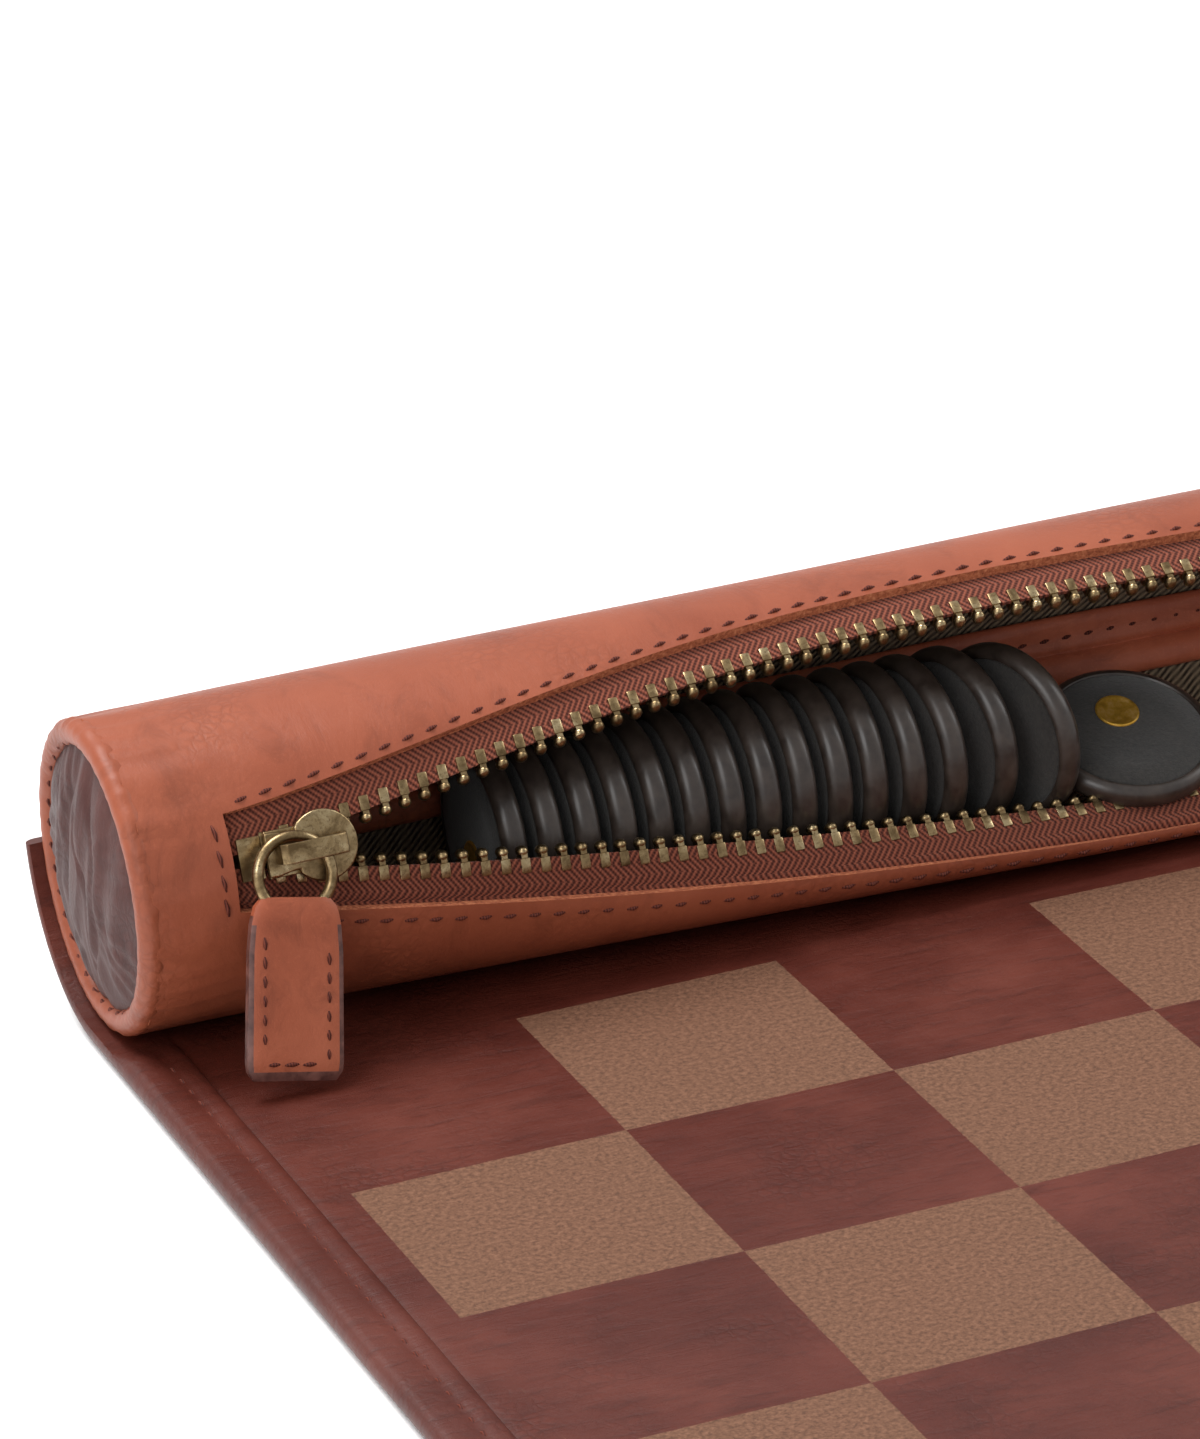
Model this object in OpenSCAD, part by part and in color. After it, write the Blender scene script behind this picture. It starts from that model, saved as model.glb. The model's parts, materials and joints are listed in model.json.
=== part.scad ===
// A roll-up leather games board with a zipped tube pouch along one edge that holds the playing discs.
// X runs along the pouch, +Y points away from the player, +Z is up, and Z = 0 is the underside of the mat.

/* [Board] */
// Side of one square
square = 35; // [29:0.5:42]
// Squares along each side of the board
squares = 8; // [8:1:10]
// Plain border round the squares
border = 13; // [11:0.5:16]
// Thickness of the mat
mat_t = 2.4; // [1.6:0.1:3.2]
// Width of the folded hem
hem_w = 8; // [6:0.5:10]
// Height of the folded hem above the mat
hem_t = 0.9; // [0.5:0.1:1.4]
// Thickness of the light squares
print_t = 0.1; // [0.1:0.05:0.3]

/* [Pouch] */
// Outside diameter of the tube
tube_d = 40; // [38:0.5:48]
// Thickness of the tube's leather
leather_t = 1.8; // [1.4:0.1:2]
// Thickness of the woven lining and of the zip tapes
lining_t = 0.6; // [0.4:0.1:0.8]
// How far round the back of the tube the mat is wrapped, in degrees
wrap_angle = 82; // [60:1:100]
// Thickness of the stiff disc in each end
stiffener_t = 1.5; // [1:0.1:2]
// How far each padded end stands out
end_bulge = 3.4; // [2:0.1:4]
// Width of the rolled rim round each end
rim_w = 2.6; // [2:0.1:3]

/* [Mouth] */
// Height of the zip's line above the level of the tube's middle, in degrees
zip_angle = 20; // [15:1:25]
// Width of the slot that is cut for the zip
slot_w = 12.4; // [12:0.1:14]
// Distance from the end of the tube to the slot
slot_inset = 10.8; // [10:0.1:16]
// How far the upper lip is lifted at its highest, in degrees
lip_lift = 38; // [30:1:42]
// Place of the highest point of the upper lip, as a share of the slot's length
lift_place = 0.392; // [0.35:0.01:0.65]
// Height of the lower lip's edge above the mat where it sags most
sag_height = 3.7; // [3:0.1:6]

/* [Zip] */
// Distance from one tooth to the next
tooth_pitch = 2.67; // [2.5:0.01:3.2]
// Width of a tooth along the zip
tooth_w = 1.15; // [1:0.05:1.2]
// Length of a tooth across the zip
tooth_l = 3.4; // [3:0.1:3.5]
// Thickness of a tooth
tooth_t = 2.1; // [1.8:0.1:2.2]
// Length of the slider
slider_l = 11.7; // [10:0.1:13]
// Width of the slider's wide end
slider_w = 8.8; // [8:0.1:9]
// Diameter of the pull ring
ring_d = 10.8; // [10:0.1:12]
// Thickness of the ring's wire
ring_wire = 1.4; // [1.2:0.1:1.6]
// Width of the leather pull tab
tab_w = 12.1; // [10:0.1:14]
// Thickness of the pull tab
tab_t = 2.4; // [1.8:0.1:2.6]

/* [Playing discs] */
// Diameter of a disc
disc_d = 24; // [18:0.5:25]
// Thickness of a disc
disc_t = 3.4; // [2.8:0.1:3.6]
// Distance from one standing disc to the next
disc_pitch = 4.9; // [4.7:0.1:5.4]
// Diameter of the dot in the middle of a disc
dot_d = 5.8; // [4:0.1:7]
// How far the dot stands off the disc's middle
dot_off = 3.4; // [0:0.1:3.5]

/* [Hidden] */
strips = 8;
discs = 16;
PIECES = ["pouch_leather", "pouch_lining", "inner_seam_strip", "left_end_cap", "right_end_cap",
    "left_rim", "right_rim", "left_stiffener", "right_stiffener", "zip_tape_upper", "zip_tape_lower",
    "zip_teeth_upper", "zip_teeth_lower", "zip_bottom_stop", "zip_top_stops", "slider_body",
    "slider_bridge", "pull_ring", "pull_tab", "mat_base", "base_squares", "light_discs", "dark_disc_dots",
    "light_disc_dots"];
$fn = 64;

skin_gap = 0.1;       // between two layers of the tube
joint_gap = 0.3;      // between bodies that slide past each other
fine = 0.05;          // how much smaller an inlay is than its place

board = square * squares;
tube_r = tube_d / 2;
tube_y = tube_r + 2;
tube_z = mat_t + tube_r;
back_y = tube_y + tube_r + mat_t;
front_y = -board - border;
mat_half = board / 2 + border;
tube_half = mat_half - end_bulge;
hinge_y = -(tube_r * 0.3 + 6.25);
strip_l = (hinge_y - front_y) / strips;
hem_end = tube_y - sqrt(pow(tube_r, 2) - pow(tube_r - hem_t, 2)) - 1;
middle_y = (front_y + back_y) / 2;
seam_gap = 0.01;      // keeps each strip clear of the next

mouth_half = tube_half - slot_inset;
half_slot = slot_w / 2 / tube_r * 180 / PI;
edge_high = zip_angle + half_slot;
edge_low = zip_angle - half_slot;
foot_y = tube_y - tube_r + 0.5;
lip_y = foot_y + 1.5;
lining_r = tube_r - leather_t - skin_gap;
room_r = lining_r - lining_t;
tape_r = lining_r - lining_t / 2;

tape_under = 1.6;     // tape hidden behind the leather
tape_out = 4.8;       // tape that stands clear of the leather
tooth_in = 3;         // leather's edge to the tooth
zip_x = -mouth_half;

channel_low = tape_r - 1.1 - tooth_t / 2 - joint_gap;
channel_high = tape_r + tooth_t / 2 + joint_gap;
plate_t = 1.1;
under_w = 5.2;        // the inner plate is the narrower one
slider_x = zip_x + 4.2;
slider_top = channel_high + plate_t;
tab_level = slider_top + 0.15 + tab_t / 2;
bridge_gap = tab_level + ring_wire / 2 + 0.25;
ring_r = (ring_d - ring_wire) / 2;
ring_x = slider_x + 2.6;
ring_h = -2.7;
tab_tilt = -11;
tab_top = ring_r - 2;
ring_z = tube_z + tab_level * sin(zip_angle) + ring_h * cos(zip_angle);
tab_reach = (ring_z - mat_t - tab_t / 2 * sin(zip_angle) - 0.6) / cos(zip_angle);
tab_l = sqrt(pow(tab_reach, 2) - pow(tab_w / 2, 2)) - tab_top;

disc_floor = tube_z - room_r;
disc_z = disc_floor + disc_d / 2 + fine;
disc_y = tube_y + 0.2;   // the row leans a little towards the back
leaning = 5;          // dark discs that have fallen over
// How far the leaning ones stand from the last straight one, in steps of the row, and how far they turn
spread = [0.98, 2, 3.24, 4.55];
turned = [3, 7, 13, 23];
lying_x = -0.0872 * mouth_half;   // where the disc that lies on its back is
lying_tilt = 21.7;
lying_z = mat_t + sag_height + 3.05 + disc_d / 2 * sin(lying_tilt);
dark_x = lying_x - 0.67 * disc_d - (discs - leaning - 1 + spread[3]) * disc_pitch;
light_x = mouth_half - 30 - (discs - 1) * disc_pitch;

// ---------- curves of the mouth ----------
// How far along the slot a place lies, from 0 to 1
function along(x) = (x + mouth_half) / (2 * mouth_half);
function inside01(v) = max(0, min(1, v));
function rise(p) = pow(sin(90 * inside01(p / lift_place)), 1.3);
function fall(p) = pow(inside01((1 - p) / (1 - lift_place)), 0.8);
function lift(p) = rise(p) * fall(p) / pow(pow(rise(p), 8) + pow(fall(p), 8), 1 / 8);
function sag(p) = 1 - pow(abs(1 - 2 * inside01(p)), 1.7);
function upper_edge(x) = edge_high + (lip_lift + 2) * lift(inside01(along(x)));
function mix(a, b, s) = a * (1 - s) + b * s;
// A point round the tube, with the angle counted up from the front
function round_tube(a, r) = [tube_y - r * cos(a), tube_z + r * sin(a)];
// The lower lip at depth d in the leather, from the bottom of the tube (t = 0) to its edge (t = 1)
function shut_lip(t, d) = round_tube(-90 + t * (edge_low + 90), tube_r - d);
function slack_lip(t, d) = pow(1 - t, 2) * [tube_y, mat_t + d]
    + 2 * t * (1 - t) * [foot_y + d, mat_t + d] + t * t * [lip_y + d, mat_t + sag_height];
function lower_lip(t, d, s) = mix(shut_lip(t, d), slack_lip(t, d), s);
// The lower tape flops into the tube where the lip is slack
function flop(s) = 80 * inside01((s - 0.32) / 0.65);
// A point on it, e millimetres beyond the leather's edge, at depth d from the leather's face
function beyond(e, d, s) = let (turn = flop(s), bend = [lip_y + leather_t + skin_gap, mat_t + sag_height],
    deep = d - leather_t - skin_gap)
    bend + [e * sin(turn) + deep * cos(turn), e * cos(turn) - deep * sin(turn)];
function lower_tape(e, d, s) = mix(round_tube(edge_low + e / tape_r * 180 / PI, tube_r - d), beyond(e, d, s), s);
function lower_angle(e, s) = (1 - s) * (edge_low + e / tape_r * 180 / PI) + s * flop(s);
function upper_tape(x, e, r) = round_tube(upper_edge(x) - e / tape_r * 180 / PI, r);

// ---------- lofts ----------
function at_x(x, outline) = [for (q = outline) [x, q[0], q[1]]];
function quad(a, b, c, d) = [[a, c, b], [a, d, c]];
// A closed bar through outlines that each have n points
module bar(stations, n) {
    last = len(stations) - 1;
    sides = [for (i = [0:last - 1], j = [0:n - 1], f = quad(i * n + j, i * n + (j + 1) % n,
        (i + 1) * n + (j + 1) % n, (i + 1) * n + j)) f];
    ends = [[for (j = [0:n - 1]) j], [for (j = [n - 1:-1:0]) last * n + j]];
    polyhedron(points = [for (s = stations) each s], faces = concat(sides, ends), convexity = 8);
}
// A tube whose wall is open between wall point w and the last one, except before station a and after b
module slotted_tube(outer, inner, w, a, b) {
    n = len(outer[0]);
    last = len(outer) - 1;
    base = (last + 1) * n;
    shut = function(i) i < a || i >= b;
    skin = [for (i = [0:last - 1], j = [0:n - 1]) if (j < w || shut(i))
        let (k = (j + 1) % n) each concat(quad(i * n + j, i * n + k, (i + 1) * n + k, (i + 1) * n + j),
        quad(base + i * n + j, base + (i + 1) * n + j, base + (i + 1) * n + k, base + i * n + k))];
    edges = [for (i = [a:b - 1]) each concat(
        quad(i * n, (i + 1) * n, base + (i + 1) * n, base + i * n),
        quad(i * n + w, base + i * n + w, base + (i + 1) * n + w, (i + 1) * n + w))];
    slot_ends = [for (j = [w:n - 1]) let (k = (j + 1) % n) each concat(
        quad(a * n + j, a * n + k, base + a * n + k, base + a * n + j),
        quad(b * n + j, base + b * n + j, base + b * n + k, b * n + k))];
    ends = [for (j = [0:n - 1]) let (k = (j + 1) % n, m = last * n) each concat(
        quad(j, base + j, base + k, k), quad(m + j, m + k, base + m + k, base + m + j))];
    polyhedron(points = [for (s = concat(outer, inner)) each s],
        faces = concat(skin, edges, slot_ends, ends), convexity = 12);
}
// Outline of the tube's wall at depth d: lower lip, bottom, back, top, upper lip, then across the slot
function wall(x, d, reach, low_n, back_n, over) = let (s = sag(along(x)), top = upper_edge(x) + over,
    bottom = edge_low)
    concat([for (j = [0:low_n]) lower_lip((1 - j / low_n) * reach, d, s)],
    [for (j = [1:back_n]) round_tube(-90 - (270 - top) * j / back_n, tube_r - d)],
    [for (j = [1:3]) round_tube(top - (top - bottom) * j / 4, tube_r - d)]);

// ---------- placing ----------
module frame() { translate([0, -middle_y, 0]) children(); }
// On the line of the zip: x along it, y up across it, z outwards from the tube's middle
module on_zip(x) { frame() translate([x, tube_y, tube_z]) rotate([90 - zip_angle, 0, 0]) children(); }
module mirrored(side) { mirror([side < 0 ? 1 : 0, 0, 0]) children(); }
// Turns a shape made round Z to lie along X
module along_x() { rotate([90, 0, 90]) children(); }

// ---------- pouch ----------
module pouch_leather() {
    steps = 36;
    xs = concat([-tube_half], [for (i = [0:steps]) -mouth_half + 2 * mouth_half * i / steps], [tube_half]);
    color("sienna") frame() slotted_tube(
        [for (x = xs) at_x(x, wall(x, 0, 1, 12, 26, 0))],
        [for (x = xs) at_x(x, wall(x, leather_t, 1, 12, 26, 0))], 38, 1, steps + 1);
}

module pouch_lining() {
    steps = 28;
    half = mouth_half + 3;
    over = tape_under * 1.25 / tape_r * 180 / PI;
    reach = function(x) mix(0.94, 0.78, sag(along(x)));
    xs = concat([-tube_half + 3], [for (i = [0:steps]) -half + 2 * half * i / steps], [tube_half - 3]);
    deep = leather_t + skin_gap;
    color("saddlebrown") frame() slotted_tube(
        [for (x = xs) at_x(x, wall(x, deep, reach(x), 10, 22, over))],
        [for (x = xs) at_x(x, wall(x, deep + lining_t, reach(x), 10, 22, over))], 32, 1, steps + 1);
}

// A folded strip sewn over the lining's seam, along the upper back of the room
module inner_seam_strip() {
    color("saddlebrown") frame() translate([-tube_half + 4, tube_y, tube_z]) rotate([-14, 0, 0])
        translate([0, room_r - 1.8, -5]) cube([2 * tube_half - 8, 1, 10]);
}

module end_cap(side) {
    r = tube_r - rim_w;
    color("brown") frame() mirrored(side) translate([0, tube_y, tube_z]) along_x() {
        translate([0, 0, tube_half - 1.4]) cylinder(r = lining_r - fine, h = 1.4);
        translate([0, 0, tube_half]) rotate_extrude() intersection() {
            square([r, end_bulge]);
            translate([0, end_bulge - (r * r + end_bulge * end_bulge) / (2 * end_bulge)])
                circle(r = (r * r + end_bulge * end_bulge) / (2 * end_bulge), $fn = 200);
        }
    }
}
module left_end_cap() { end_cap(-1); }
module right_end_cap() { end_cap(1); }

module rim(side) {
    color("sienna") frame() mirrored(side) translate([tube_half + rim_w / 2, tube_y, tube_z]) along_x()
        rotate_extrude() translate([tube_r - rim_w / 2, 0]) circle(d = rim_w);
}
module left_rim() { rim(-1); }
module right_rim() { rim(1); }

module stiffener(side) {
    color("burlywood") frame() mirrored(side) translate([tube_half - 1.4 - stiffener_t, tube_y, tube_z])
        along_x() cylinder(r = lining_r - 0.4, h = stiffener_t);
}
module left_stiffener() { stiffener(-1); }
module right_stiffener() { stiffener(1); }

// ---------- zip ----------
module zip_tape_upper() {
    steps = 34;
    half = mouth_half + 3;
    xs = [for (i = [0:steps]) -half + 2 * half * i / steps];
    color("maroon") frame() bar([for (x = xs) at_x(x, concat(
        [for (j = [0:3]) upper_tape(x, mix(-tape_under, tape_out, j / 3), lining_r)],
        [for (j = [3:-1:0]) upper_tape(x, mix(-tape_under, tape_out, j / 3), room_r)]))], 8);
}

module zip_tape_lower() {
    steps = 34;
    half = mouth_half + 3;
    deep = leather_t + skin_gap;
    xs = [for (i = [0:steps]) -half + 2 * half * i / steps];
    face = function(x, d, s) concat([for (j = [2:-1:0]) lower_tape(tape_out * j / 2, d, s)],
        [lower_lip(mix(0.955, 0.82, s), d, s)]);
    back = function(points) [for (j = [3:-1:0]) points[j]];
    color("maroon") frame() bar([for (x = xs) let (s = sag(along(x)))
        at_x(x, concat(face(x, deep, s), back(face(x, deep + lining_t, s))))], 8);
}

module tooth(x, place, angle) {
    translate([x, place[0], place[1]]) rotate([90 - angle, 0, 0])
        cube([tooth_w, tooth_l, tooth_t], center = true);
}
tooth_first = slider_x + 0.5;
tooth_count = floor((2 * mouth_half - 10) / tooth_pitch);

module zip_teeth_upper() {
    middle = tooth_in + tooth_l / 2;
    color("darkkhaki") frame() for (k = [0:tooth_count - 1]) let (x = tooth_first + k * tooth_pitch)
        tooth(x, upper_tape(x, middle, tape_r), upper_edge(x) - middle / tape_r * 180 / PI);
}

module zip_teeth_lower() {
    middle = tooth_in + tooth_l / 2;
    color("darkkhaki") frame() for (k = [0:tooth_count - 1])
        let (x = tooth_first + (k + 0.5) * tooth_pitch, s = sag(along(x)))
        tooth(x, lower_tape(middle, tube_r - tape_r, s), lower_angle(middle, s));
}

module zip_bottom_stop() {
    color("darkkhaki") on_zip(zip_x + 1) translate([0, -2.6, tape_r - 1.3]) cube([2.9, 5.2, 2.6]);
}

module zip_top_stops() {
    end = mouth_half - 2.6;
    color("darkkhaki") frame() for (e = [0, 1]) translate([end - 1.6, 0, 0])
        let (x = end, a = e == 0 ? upper_edge(x) - 4.2 / tape_r * 180 / PI : edge_low + 4.2 / tape_r * 180 / PI,
        q = e == 0 ? upper_tape(x, 4.2, tape_r) : lower_tape(4.2, tube_r - tape_r, sag(along(x))))
        translate([0.8, q[0], q[1]]) rotate([90 - a, 0, 0]) cube([1.6, 2.4, 2.4], center = true);
}

// The slider's outline: narrow behind, wide and round in front
module slider_outline() {
    head = slider_w / 2;
    union() {
        translate([0, -2.9]) square([slider_l - head, 5.8]);
        translate([slider_l - head, 0]) circle(r = head);
    }
}
module slider_body() {
    color("darkkhaki") on_zip(slider_x) {
        translate([0, 0, channel_high]) linear_extrude(plate_t) slider_outline();
        translate([0, 0, channel_low - plate_t]) linear_extrude(plate_t) {
            translate([0, -under_w / 2]) square([slider_l - under_w / 2, under_w]);
            translate([slider_l - under_w / 2, 0]) circle(d = under_w);
        }
        translate([slider_l - 1.4, 0, channel_low]) cylinder(r = 0.8, h = channel_high - channel_low);
    }
}

module slider_bridge() {
    start = ring_x - slider_x - 0.4;
    color("darkkhaki") on_zip(slider_x) difference() {
        translate([start, -1, slider_top]) cube([slider_l - 2 - start, 2, bridge_gap + 1 - slider_top]);
        translate([start + 1, -1 - fine, slider_top - 1])
            cube([slider_l - 4 - start, 2 + 2 * fine, bridge_gap - slider_top + 1]);
    }
}

module pull_ring() {
    color("darkkhaki") on_zip(ring_x) translate([0, ring_h, tab_level])
        rotate_extrude() translate([ring_r, 0]) circle(d = ring_wire);
}

module pull_tab() {
    color("sienna") on_zip(ring_x) translate([0, ring_h, tab_level]) rotate([0, 0, tab_tilt])
        difference() {
            translate([-tab_w / 2, -tab_top - tab_l, -tab_t / 2]) cube([tab_w, tab_l, tab_t]);
            rotate_extrude() translate([ring_r, 0]) circle(d = ring_wire + 2 * fine);
        }
}

// ---------- mat ----------
module mat_panel(near, far, hem_near, front) {
    color("brown") frame() {
        translate([-mat_half, far, 0]) cube([2 * mat_half, near - far, mat_t]);
        for (side = [-1, 1]) translate([side < 0 ? -mat_half : mat_half - hem_w, far, 0])
            cube([hem_w, hem_near - far, mat_t + hem_t]);
        if (front) translate([-mat_half, far, 0]) cube([2 * mat_half, hem_w, mat_t + hem_t]);
    }
}

module light_squares(near, far) {
    color("tan") frame() for (i = [0:squares - 1], j = [0:squares - 1]) if ((i + j) % 2 == 1) {
        top = min(near, -j * square - fine);
        low = max(far, -(j + 1) * square + fine);
        if (top > low + fine) translate([-board / 2 + i * square + fine, low, mat_t])
            cube([square - 2 * fine, top - low, print_t]);
    }
}

module mat_base() {
    color("brown") frame() difference() {
        translate([-mat_half, tube_y, tube_z]) along_x() difference() {
            cylinder(r = tube_r + mat_t, h = 2 * mat_half);
            translate([0, 0, -1]) cylinder(r = tube_r, h = 2 * mat_half + 2);
        }
        translate([-mat_half - 1, tube_y - 2 * tube_r, -1]) cube([2 * mat_half + 2, 2 * tube_r, 4 * tube_r]);
        translate([-mat_half - 1, tube_y, tube_z]) rotate([wrap_angle - 90, 0, 0])
            cube([2 * mat_half + 2, 2 * tube_r, 2 * tube_r]);
        translate([-mat_half - 1, tube_y - 1, tube_z]) cube([2 * mat_half + 2, tube_r, 2 * tube_r]);
    }
    mat_panel(tube_y, hinge_y, hem_end, false);
}
module base_squares() { light_squares(0, hinge_y); }

module mat_strip(k) {
    near = hinge_y - (k - 1) * strip_l - seam_gap;
    mat_panel(near, hinge_y - k * strip_l + (k == strips ? 0 : seam_gap), near, k == strips);
}
module strip_squares(k) { light_squares(hinge_y - (k - 1) * strip_l, hinge_y - k * strip_l); }

// ---------- playing discs ----------
module disc_blank() {
    difference() {
        rotate_extrude() union() {
            translate([0, -disc_t / 2]) square([disc_d / 2 - disc_t / 2, disc_t]);
            translate([disc_d / 2 - disc_t / 2, 0]) circle(d = disc_t);
        }
        translate([dot_off, 0, disc_t / 2 - 0.4]) cylinder(d = dot_d, h = 1);
    }
}
module disc_dot() { translate([dot_off, 0, disc_t / 2 - 0.4]) cylinder(d = dot_d - 2 * fine, h = 0.3); }

// Places a disc that stands on its edge, its face to the left
module standing(x) { frame() translate([x, disc_y, disc_z]) rotate([0, -90, 0]) children(); }
// The last dark discs turn away from the row one after another, and the last of all lies on its back
function fallen(k) = k - (discs - leaning);
module lying() {
    frame() translate([lying_x, tube_y - disc_d / 6, lying_z]) rotate([lying_tilt, 0, 0]) children();
}
module dark_place(k) {
    n = fallen(k);
    row_end = dark_x + (discs - leaning - 1) * disc_pitch;
    if (n <= 0) standing(dark_x + (k - 1) * disc_pitch) children();
    else if (n <= 4) frame() translate([row_end + spread[n - 1] * disc_pitch, tube_y - (n == 4 ? disc_d / 13 : 0),
        disc_z]) rotate([0, -90, turned[n - 1]]) children();
    else lying() children();
}
module dark_disc(k) { color([0.13, 0.08, 0.06]) dark_place(k) disc_blank(); }
module dark_disc_dots() { color("goldenrod") for (k = [1:discs]) dark_place(k) disc_dot(); }
module light_discs() {
    color("tan") for (k = [1:discs]) standing(light_x + (k - 1) * disc_pitch) disc_blank();
}
module light_disc_dots() {
    color("goldenrod") for (k = [1:discs]) standing(light_x + (k - 1) * disc_pitch) disc_dot();
}

pouch_leather();
pouch_lining();
inner_seam_strip();
left_end_cap();
right_end_cap();
left_rim();
right_rim();
left_stiffener();
right_stiffener();
zip_tape_upper();
zip_tape_lower();
zip_teeth_upper();
zip_teeth_lower();
zip_bottom_stop();
zip_top_stops();
slider_body();
slider_bridge();
pull_ring();
pull_tab();
mat_base();
base_squares();
light_discs();
dark_disc_dots();
light_disc_dots();
for (k = [1:strips]) {
    mat_strip(k);
    strip_squares(k);
}
for (k = [1:discs]) dark_disc(k);
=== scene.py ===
"""Looks for a roll-up leather games board with a zipped tube pouch and its playing discs."""
import json
import math

import bmesh
import bpy
import numpy as np
from mathutils import Matrix, Vector


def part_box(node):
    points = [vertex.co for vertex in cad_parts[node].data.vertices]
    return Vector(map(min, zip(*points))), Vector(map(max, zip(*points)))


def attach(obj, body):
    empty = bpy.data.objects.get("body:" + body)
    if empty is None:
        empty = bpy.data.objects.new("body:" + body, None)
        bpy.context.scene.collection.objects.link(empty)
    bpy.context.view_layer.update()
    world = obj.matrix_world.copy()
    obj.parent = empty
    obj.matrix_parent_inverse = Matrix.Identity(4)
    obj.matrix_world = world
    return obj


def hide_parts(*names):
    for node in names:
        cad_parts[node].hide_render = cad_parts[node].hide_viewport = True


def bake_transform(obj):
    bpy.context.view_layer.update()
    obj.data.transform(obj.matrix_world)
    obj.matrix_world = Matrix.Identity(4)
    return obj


MM = 0.001
columns = np.column_stack
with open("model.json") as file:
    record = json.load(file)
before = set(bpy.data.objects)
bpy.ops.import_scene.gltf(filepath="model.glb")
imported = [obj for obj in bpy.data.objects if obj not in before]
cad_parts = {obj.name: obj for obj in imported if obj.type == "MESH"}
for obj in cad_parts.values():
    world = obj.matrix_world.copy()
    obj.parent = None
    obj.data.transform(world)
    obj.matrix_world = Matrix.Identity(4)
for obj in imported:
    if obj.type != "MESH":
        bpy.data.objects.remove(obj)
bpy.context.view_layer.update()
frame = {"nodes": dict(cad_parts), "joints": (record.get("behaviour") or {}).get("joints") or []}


# ---------- sizes taken from the frame ----------
def corners(node):
    """A node's lowest and highest corners at rest."""
    return [np.array(corner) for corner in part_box(node)]


tube_lo, tube_hi = corners("pouch_leather")
tube_half = float(tube_hi[0])
tube_r = float(tube_hi[2] - tube_lo[2]) / 2
tube_y = float(tube_hi[1]) - tube_r
tube_z = float(tube_hi[2]) - tube_r
mat_lo, mat_hi = corners("mat_strip_8")
mat_half = float(mat_hi[0])
front_y = float(mat_lo[1])
mat_t = float(tube_lo[2])
hem_t = float(mat_hi[2]) - mat_t
joints = {j["name"]: j for j in frame["joints"]}
hinge_y = {k: joints["mat_roll" if k == 8 else f"mat_roll_{k}"]["pos_m"][1] for k in range(1, 9)}
strip_l = hinge_y[1] - hinge_y[2]

# ---------- sizes shared with the frame's design ----------
SQUARES = 8
BORDER = 13 * MM
HEM_W = 8 * MM
LEATHER_T = 1.8 * MM
LINING_T = 0.6 * MM
SKIN_GAP = 0.1 * MM
WRAP_ANGLE = 82
ZIP_ANGLE = 20
SLOT_W = 12.4 * MM
SLOT_INSET = 10.8 * MM
LIP_LIFT = 38
LIFT_PLACE = 0.392
SAG_HEIGHT = 3.7 * MM
TOOTH_PITCH = 2.67 * MM
TAPE_UNDER = 1.6 * MM
TAPE_OUT = 4.8 * MM
TOOTH_IN = 3 * MM
TOOTH_L = 3.4 * MM
DISC_D = 24 * MM
DISC_T = 3.4 * MM
DISC_PITCH = 4.9 * MM
DOT_D = 5.8 * MM
DOT_OFF = 3.4 * MM
DISCS = 16
HEM_SEAM = 5 * MM         # the hem's stitches, in from the mat's edge
SEAM_SINK = 0.22 * MM     # how far a hem stitch sinks into the leather
WRAP_START = 12 * MM      # the part that stays with the pouch begins this far behind the first hinge line
PAST_MOUTH = 3 * MM       # the lining's slot and the tapes go on this far past the mouth
PLATE_T = 1.1 * MM
PLATE_EDGE = 0.35 * MM
RIM_R = 1.7 * MM
TURNED = [3, 7, 13, 23]   # how far the last standing discs turn
LYING_TILT = 21.7         # how far the last disc, on its back, tilts

board_half = mat_half - BORDER
square = 2 * board_half / SQUARES
board_back = front_y + BORDER + 2 * board_half
mouth_half = tube_half - SLOT_INSET
half_slot = math.degrees(SLOT_W / 2 / tube_r)
edge_high = ZIP_ANGLE + half_slot
edge_low = ZIP_ANGLE - half_slot
foot_y = tube_y - tube_r + 0.5 * MM
lip_y = foot_y + 1.5 * MM
tape_r = tube_r - LEATHER_T - SKIN_GAP - LINING_T / 2


# ---------- curves of the mouth ----------
def along(x):
    return np.clip((x + mouth_half) / (2 * mouth_half), 0, 1)


def lift(p):
    rise = np.sin(np.radians(90 * np.clip(p / LIFT_PLACE, 0, 1))) ** 1.3
    fall = np.clip((1 - p) / (1 - LIFT_PLACE), 0, 1) ** 0.8
    return rise * fall / (rise ** 8 + fall ** 8) ** (1 / 8)


def sag(x):
    return 1 - np.abs(1 - 2 * along(x)) ** 1.7


def upper_edge(x):
    return edge_high + (LIP_LIFT + 2) * lift(along(x))


def round_tube(a, r):
    a = np.radians(a)
    return np.stack(np.broadcast_arrays(tube_y - r * np.cos(a), tube_z + r * np.sin(a)), -1)


def mix(a, b, s):
    s = np.asarray(s)[..., None]
    return a * (1 - s) + b * s


def lower_lip(t, d, s):
    """A point of the lower lip at depth d, from the tube's bottom (t = 0) to the lip's edge (t = 1)."""
    shut = round_tube(-90 + t * (edge_low + 90), tube_r - d)
    bottom = np.array([tube_y, mat_t + d])
    foot = np.array([foot_y + d, mat_t + d])
    edge = np.array([lip_y + d, mat_t + SAG_HEIGHT])
    t = np.asarray(t)[..., None]
    return mix(shut, (1 - t) ** 2 * bottom + 2 * t * (1 - t) * foot + t * t * edge, s)


def flop(s):
    return 62 * np.clip((s - 0.32) / 0.65, 0, 1)


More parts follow.
